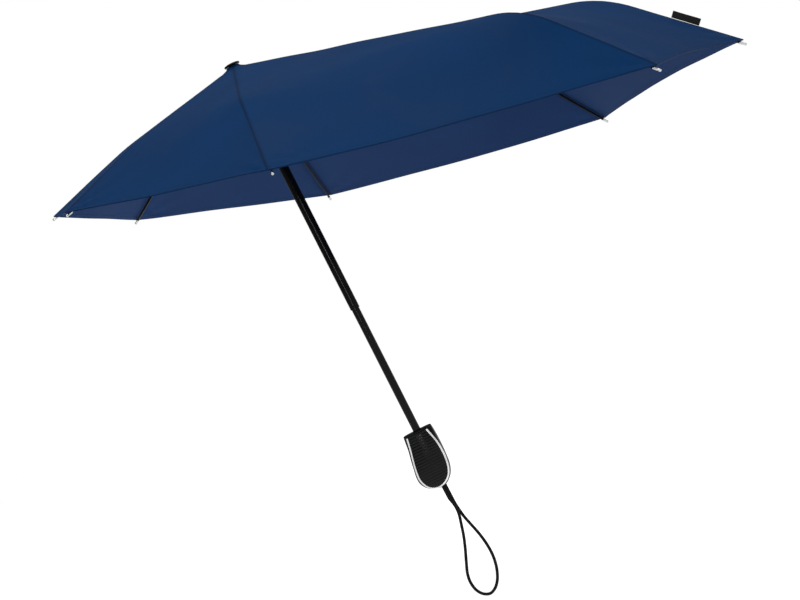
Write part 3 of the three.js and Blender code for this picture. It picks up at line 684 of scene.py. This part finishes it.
def arm_line(rib):
    """(hinge, direction of the inner arms, first fold, bend, direction of the outer arm) of a rib, each as a
    radius and a height in mm."""
    _, _, slope, fold, bend, corner_r, corner_drop, _ = rib
    hinge = np.array([HINGE_R, HINGE_Z])
    knee = np.array([bend, CROWN - 5 - slope * bend - ARM_BELOW_CLOTH])
    inner = unit(knee - hinge)
    first = hinge + inner * (fold - HINGE_R) / inner[0]
    tip = np.array([corner_r - 3, CROWN - corner_drop - 3.6])
    return hinge, inner, first, knee, unit(tip - knee)


def plane_at(rib, place, direction):
    """A cutting plane across a rib, as a point in metres and a direction."""
    a = math.radians(rib[1])
    place, direction = (Vector((p[0] * math.cos(a), p[0] * math.sin(a), p[1])) for p in (place, direction))
    return place * MM, direction


# Where the gores are cut so that they can fold, mm from the shaft, and which pieces are split into halves.
CROWN_CUT = 32.0
SHOULDER_CUT = {3: 95.0, 2: 80.0}
ASIDE = {"middle": 4.5, "outer": 4.5}


def gore_cuts(rib):
    """(part, cutting planes) for each piece of a gore, from the crown outwards."""
    arms = rib[7]
    hinge, inner, first, knee, outer = arm_line(rib)
    at_crown = plane_at(rib, hinge + inner * (CROWN_CUT - HINGE_R) / inner[0], inner)
    at_shoulder = plane_at(rib, hinge + inner * (SHOULDER_CUT[arms] - HINGE_R) / inner[0], inner)
    at_fold = plane_at(rib, first, inner)
    at_bend = plane_at(rib, knee, unit(inner + outer))
    cuts = [at_crown, at_shoulder] + ([at_fold, at_bend] if arms == 3 else [at_bend])
    parts = ["crown", "shoulder", "panel"] + (["middle", "outer"] if arms == 3 else ["outer"])
    for n, part in enumerate(parts):
        planes = ([cuts[n - 1]] if n else []) + ([(cuts[n][0], -cuts[n][1])] if n < len(cuts) else [])
        yield part, planes


for r, rib in enumerate(RIBS):
    name, azimuth, arms = rib[0], math.radians(rib[1]), rib[7]
    radial = np.array([math.cos(azimuth), math.sin(azimuth), 0])
    hinge, inner, first, knee, outer = arm_line(rib)
    for part, planes in gore_cuts(rib):
        halves = ((-1, "_right"), (1, "_left")) if part in ASIDE else ((0, ""),)
        for half, suffix in halves:
            label = f"canopy_{part}_{name}{suffix}"
            mesh, seam, along = gore_piece(r, label, planes, half)
            cloth = add_object(label, mesh, CLOTH_TOP, CLOTH_UNDER_PAINTED_LIGHT)
            if part == "crown":
                height = (CROWN - 10) * MM
                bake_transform(cloth, "upper", f"inner_{name}", start=tuple(radial * 9 * MM + [0, 0, height]),
                         end=tuple(radial * 24 * MM + [0, 0, height]))
                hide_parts(f"gore_{name}")
            elif half == 0:
                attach(cloth, f"inner_{name}")
                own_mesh(cloth)
            else:
                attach(cloth, f"{part}_{name}")
                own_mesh(cloth)


# ---------------------------------------------------------------- handle
# Height, front half width, rear half width and half depth, mm.
HANDLE_ROWS = [
    (37.3, 20.3, 19.9, 14.6), (30, 21.2, 20.6, 15.4), (20, 22.4, 21.0, 16.2), (8, 24.9, 21.0, 17.0),
    (-4, 27.0, 20.4, 17.4), (-14, 28.6, 19.6, 17.2), (-22, 28.4, 17.6, 16.2), (-28, 26.0, 14.8, 14.6),
    (-33, 22.0, 10.8, 12.2), (-37, 16.0, 6.0, 9.0), (-39.2, 10.0, 1.6, 5.2), (-40, 6.6, -1.6, 2.2),
]
# The edge of the side pads, once round the bottom: x and z, mm.
PAD_OUTLINE = [
    (11.0, 37.4), (15.4, 20), (16.8, 8), (16.6, -6), (14.6, -18), (10.6, -27), (3.4, -33.6), (-6, -36.6),
    (-14.6, -34.4), (-20.6, -28), (-23.8, -18), (-23.0, -6), (-20.4, 8), (-17.6, 20), (-14.4, 37.4),
]
ROUND = 0.78
PAD_TOP = 36.9
INLAY_W = 2.4
RIDGE_PITCH = 3.7
RIDGE_DEPTH = 0.85


def smooth_rows(values, steps):
    """Values at evenly shared parameters along a Catmull-Rom curve through the rows."""
    p = np.array(values, float)
    p = np.vstack([2 * p[0] - p[1], p, 2 * p[-1] - p[-2]])
    u = np.linspace(0, len(values) - 1 - 1e-9, steps)
    k = u.astype(int)
    f = (u - k)[:, None]
    a, b, c, d = (p[k + n] for n in range(4))
    return 0.5 * (2 * b + (c - a) * f + (2 * a - 5 * b + 4 * c - d) * f ** 2 + (3 * b - a - 3 * c + d) * f ** 3)


FINE_ROWS = smooth_rows(HANDLE_ROWS, 120)


def handle_at(z):
    """(front half width, rear half width, half depth) at height z, mm."""
    order = np.argsort(FINE_ROWS[:, 0])
    return [np.interp(z, FINE_ROWS[order, 0], FINE_ROWS[order, n]) for n in (1, 2, 3)]


def handle_side(x, z):
    """How far the handle's surface stands from its middle plane at (x, z), mm."""
    front, rear, depth = handle_at(z)
    centre, half = (rear - front) / 2, (rear + front) / 2
    return depth * np.clip(1 - np.abs((x - centre) / half) ** (2 / ROUND), 0, 1) ** (ROUND / 2)


def shell_mesh():
    """The closed grip shell, as rings from top to bottom."""
    around = 72
    turn = np.linspace(0, 2 * math.pi, around, endpoint=False)
    c, s = np.cos(turn), np.sin(turn)
    rings = []
    for z, front, rear, depth in FINE_ROWS:
        centre, half = (rear - front) / 2, (rear + front) / 2
        rings.append(np.stack([centre + half * np.sign(c) * np.abs(c) ** ROUND,
                               depth * np.sign(s) * np.abs(s) ** ROUND, np.full(around, z)], 1))
    rings = np.array(rings)
    faces = grid_faces(len(rings), around, closed=True, flip=True)
    faces += [tuple(range(around)), tuple((len(rings) - 1) * around + k for k in range(around))[::-1]]
    return mesh_from("grip_shell", rings.reshape(-1, 3) * MM, faces)


shell = add_object("grip_shell", shell_mesh(), GLOSS)
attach(shell, "root")
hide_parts("handle_shell")

outline = smooth_rows(PAD_OUTLINE, 260)
outline = outline[outline[:, 1] <= PAD_TOP]
centre_line = outline.mean(0)


def outward(points):
    """Unit normals of the outline, pointing away from the pad."""
    d = unit(np.gradient(points, axis=0))
    n = np.stack([d[:, 1], -d[:, 0]], 1)
    flip = np.sign(((points - centre_line) * n).sum(1).mean())
    return n * flip


def inlay_mesh(side):
    """The U-shaped trim: a low rounded bead along the outline."""
    n = outward(outline)
    steps = [(0.12, -1.6), (0.12, 0.12), (0.5, 0.34), (INLAY_W / 2, 0.42), (INLAY_W - 0.5, 0.34),
             (INLAY_W - 0.12, 0.12), (INLAY_W - 0.12, -1.6)]
    grid = []
    for out, lift in steps:
        p = outline + n * out
        y = handle_side(p[:, 0], p[:, 1]) + lift
        grid.append(np.stack([p[:, 0], side * y, p[:, 1]], 1))
    grid = np.array(grid).transpose(1, 0, 2)
    rows, cols = grid.shape[:2]
    faces = grid_faces(rows, cols, closed=True, flip=side > 0)
    ends = [tuple(range(cols)), tuple((rows - 1) * cols + k for k in range(cols))[::-1]]
    faces += ends if side < 0 else [e[::-1] for e in ends]
    return mesh_from("trim", grid.reshape(-1, 3) * MM, faces)


def pad_mesh(side):
    """The rubber pad: rows across the outline, with rounded ridges."""
    bottom = outline[:, 1].min()
    zs = np.linspace(bottom + 0.15, PAD_TOP, 210)
    lowest = np.argmin(outline[:, 1])
    front_edge, rear_edge = outline[lowest:], outline[: lowest + 1][::-1]
    x_front = np.interp(zs, front_edge[:, 1], front_edge[:, 0])
    x_rear = np.interp(zs, rear_edge[:, 1], rear_edge[:, 0])
    cols = 26
    share = 0.5 - 0.5 * np.cos(np.linspace(0, math.pi, cols))
    x = x_front[:, None] + (x_rear - x_front)[:, None] * share[None]
    z = np.tile(zs[:, None], (1, cols))
    phase = ((zs - bottom) % RIDGE_PITCH) / RIDGE_PITCH
    ridge = 0.5 - 0.5 * np.cos(2 * math.pi * phase)
    groove = 1 - np.clip(1.7 * ridge, 0, 1) ** 0.8
    from_edge = np.minimum(x - x_front[:, None], x_rear[:, None] - x)
    inside = np.clip(from_edge / 1.6, 0, 1)
    ends = np.clip(np.minimum(zs - bottom - 1, PAD_TOP - 1 - zs) / 1.2, 0, 1)[:, None]
    dome = 0.35 * np.clip(from_edge / 5, 0, 1) ** 0.5
    lift = 0.05 + dome * ends - RIDGE_DEPTH * groove[:, None] * inside * ends
    top = np.stack([x, side * (handle_side(x, z) + lift), z], -1)
    under = np.stack([x, side * (handle_side(x, z) - 1.6), z], -1)
    rows = len(zs)
    n = rows * cols
    faces = grid_faces(rows, cols, flip=side < 0) + grid_faces(rows, cols, n, flip=side > 0)
    rim = grid_rim(rows, cols)
    for a, b in zip(rim, rim[1:] + rim[:1]):
        face = (a, b, b + n, a + n)
        faces.append(face if side > 0 else face[::-1])
    mesh = mesh_from("pad", np.vstack([top.reshape(-1, 3), under.reshape(-1, 3)]) * MM, faces)
    mesh.flip_normals()
    return mesh


for label, side in (("near", -1), ("far", 1)):
    trim = add_object(f"trim_{label}", inlay_mesh(side), TRIM)
    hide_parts(f"grip_inlay_{label}")
    pad = add_object(f"ribbed_pad_{label}", pad_mesh(side), RUBBER)
    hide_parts(f"grip_pad_{label}")
    for piece in (trim, pad):
        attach(piece, "root")


# ---------------------------------------------------------------- sewn label
rear = KNOTS[0]
seam_dir = unit(rear[3] - rear[2])
seam_up = np.array([-seam_dir[2], 0, seam_dir[0]])
LABEL_L, LABEL_H, LABEL_FROM = 37.0, 9.9, 92.0


def label_mesh():
    """The label: a thin closed strip that stands on the rear seam, a little wavy along its free edge."""
    rows, cols = 13, 40
    along = np.linspace(0, LABEL_L, cols)
    up = np.linspace(-0.2, LABEL_H, rows)
    points = []
    for sign in (1, -1):
        for u in up:
            for s in along:
                swell = 0.42 * math.sin(math.pi * min(1, max(0, u / LABEL_H))) + 0.1
                lean = 0.5 * math.sin(s / LABEL_L * 5.2) * (u / LABEL_H) ** 1.5
                p = rear[2] + seam_dir * (LABEL_FROM + s) + seam_up * (CLOTH_T / 2 + u)
                points.append((p + np.array([0, lean + sign * swell, 0])) * MM)
    n = rows * cols
    faces = grid_faces(rows, cols, flip=True) + grid_faces(rows, cols, n)
    rim = grid_rim(rows, cols)
    faces += [(b, a, a + n, b + n)[::-1] for a, b in zip(rim, rim[1:] + rim[:1])]
    mesh = mesh_from("sewn_label", points, faces)
    uv = mesh.uv_layers.new(name="weave")
    for loop in mesh.loops:
        k = loop.vertex_index % n
        uv.data[loop.index].uv = (up[k // cols] * MM, along[k % cols] * MM)
    return mesh


tag = add_object("sewn_label", label_mesh(), TAPE)
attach(tag, "outer_rear")
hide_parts("canopy_label")


# ---------------------------------------------------------------- CAD nodes that stay, with their materials
def dress(name, material, bevel=0.0, angle=40):
    """Gives a CAD node its material, softened edges and smooth round faces."""
    made = nodes[name]
    made.data.materials.clear()
    made.data.materials.append(material)
    made.data.polygons.foreach_set("use_smooth", [True] * len(made.data.polygons))
    weld = made.modifiers.new("weld", "WELD")
    weld.merge_threshold = 1e-6
    if bevel:
        edge = made.modifiers.new("bevel", "BEVEL")
        edge.width = bevel
        edge.segments = 2
        edge.limit_method = "ANGLE"
        edge.angle_limit = math.radians(angle)
        edge.harden_normals = True
    else:
        split = made.modifiers.new("split", "EDGE_SPLIT")
        split.split_angle = math.radians(angle)


for name in nodes:
    if name.startswith(("arm_", "stretcher_")):
        dress(name, ARM_STEEL, 0.25 * MM)
    elif name.startswith("tip_"):
        dress(name, BRIGHT, angle=50)
for name, material in (("lower_tube", STEEL), ("upper_tube", STEEL), ("crown_cap", PLASTIC), ("top_notch", PLASTIC),
                       ("runner", PLASTIC), ("notch_wire", BRIGHT), ("runner_wire", BRIGHT)):
    dress(name, material, angle=35)
dress("runner_catch", BRIGHT, 0.2 * MM)
dress("handle_collar", PLASTIC, 0.3 * MM)

# ---------------------------------------------------------------- stage and light
FLOOR_Z = cad_box[0][2] - 0.0005
STAGE_SIDE = 120.0


def floor_material():
    material, tree, shader = new_material("stage_white")
    shader.inputs["Base Color"].default_value = (0.5, 0.5, 0.5, 1)
    shader.inputs["Roughness"].default_value = 0.9
    shader.inputs["Specular IOR Level"].default_value = 0.0
    shader.inputs["Emission Color"].default_value = (1, 1, 1, 1)
    shader.inputs["Emission Strength"].default_value = 0.9
    return material


half = STAGE_SIDE / 2
corners = [(-half, -half, FLOOR_Z), (half, -half, FLOOR_Z), (half, half, FLOOR_Z), (-half, half, FLOOR_Z)]
floor = add_object("floor", mesh_from("floor", corners, [(0, 1, 2, 3)], smooth=False), floor_material())

# The backdrop is white to the eye, and dimmer as a light, so that black parts stay black.
world = bpy.data.worlds.new("studio")
bpy.context.scene.world = world
world.use_nodes = True
sky = world.node_tree
sky.nodes.clear()
seen = node(sky, "ShaderNodeLightPath").outputs["Is Camera Ray"]
white = node(sky, "ShaderNodeBackground", {"Color": (1, 1, 1, 1), "Strength": 1.0}).outputs[0]
dim = node(sky, "ShaderNodeBackground", {"Color": (0.95, 0.97, 1, 1), "Strength": 0.25}).outputs[0]
mix = node(sky, "ShaderNodeMixShader", {0: seen, 1: dim, 2: white}).outputs[0]
out = node(sky, "ShaderNodeOutputWorld")
sky.links.new(mix, out.inputs["Surface"])


def area_light(name, place, aim, size, power, tint=(1, 1, 1)):
    data = bpy.data.lights.new(name, "AREA")
    data.shape = "RECTANGLE"
    data.size, data.size_y = size
    data.energy = power
    data.color = tint
    lamp = bpy.data.objects.new(name, data)
    bpy.context.collection.objects.link(lamp)
    place = Vector(place)
    lamp.location = place
    lamp.rotation_euler = (Vector(aim) - place).to_track_quat("-Z", "Y").to_euler()


area_light("key", (-1.6, -2.2, 2.6), (0.1, 0, 0.45), (1.8, 1.8), 52)
area_light("top", (0.6, 0.4, 3.2), (0.1, 0, 0.4), (2.4, 2.4), 70)
area_light("side", (2.6, -1.6, 1.4), (0.2, 0, 0.4), (1.2, 2.0), 25)
area_light("strip", (-0.1, -2.6, 0.46), (0, 0, 0.4), (0.16, 0.5), 6, (1, 0.94, 0.88))

bpy.context.scene.view_settings.view_transform = "Standard"
